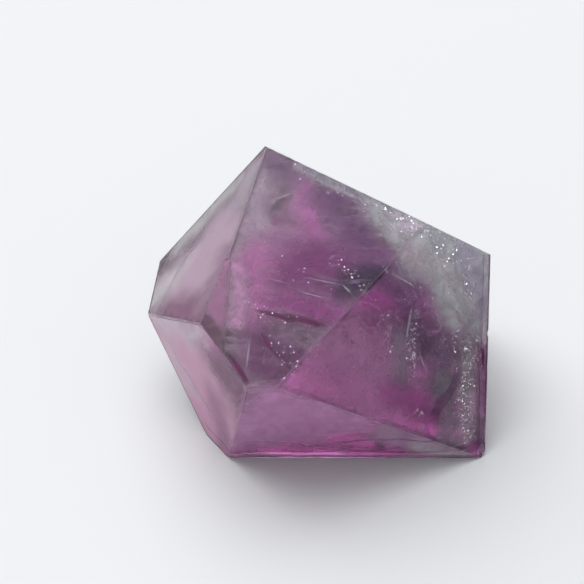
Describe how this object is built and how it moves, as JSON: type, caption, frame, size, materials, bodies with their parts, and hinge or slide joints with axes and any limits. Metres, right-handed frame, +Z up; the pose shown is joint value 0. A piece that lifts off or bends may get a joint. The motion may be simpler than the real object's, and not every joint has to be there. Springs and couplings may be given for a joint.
{
  "type": "polished fluorite polyhedron",
  "caption": "Hand-sized freeform of purple fluorite, ground to irregular flat facets and polished, with a sawn flat foot it stands on.",
  "frame": {"origin": "on the resting plane, under the middle of the stone's bounding box", "axes": "+X to the stone's right, towards the blunt end; +Y to its back wall; +Z up from the sawn foot"},
  "size_m": [0.0728, 0.0568, 0.0486],
  "materials": {
    "fluorite": "polished, see-through lilac with deep purple and grey-green zones"
  },
  "bodies": {
    "root": {"fluorite_crystal": "fluorite"}
  },
  "joints": []
}
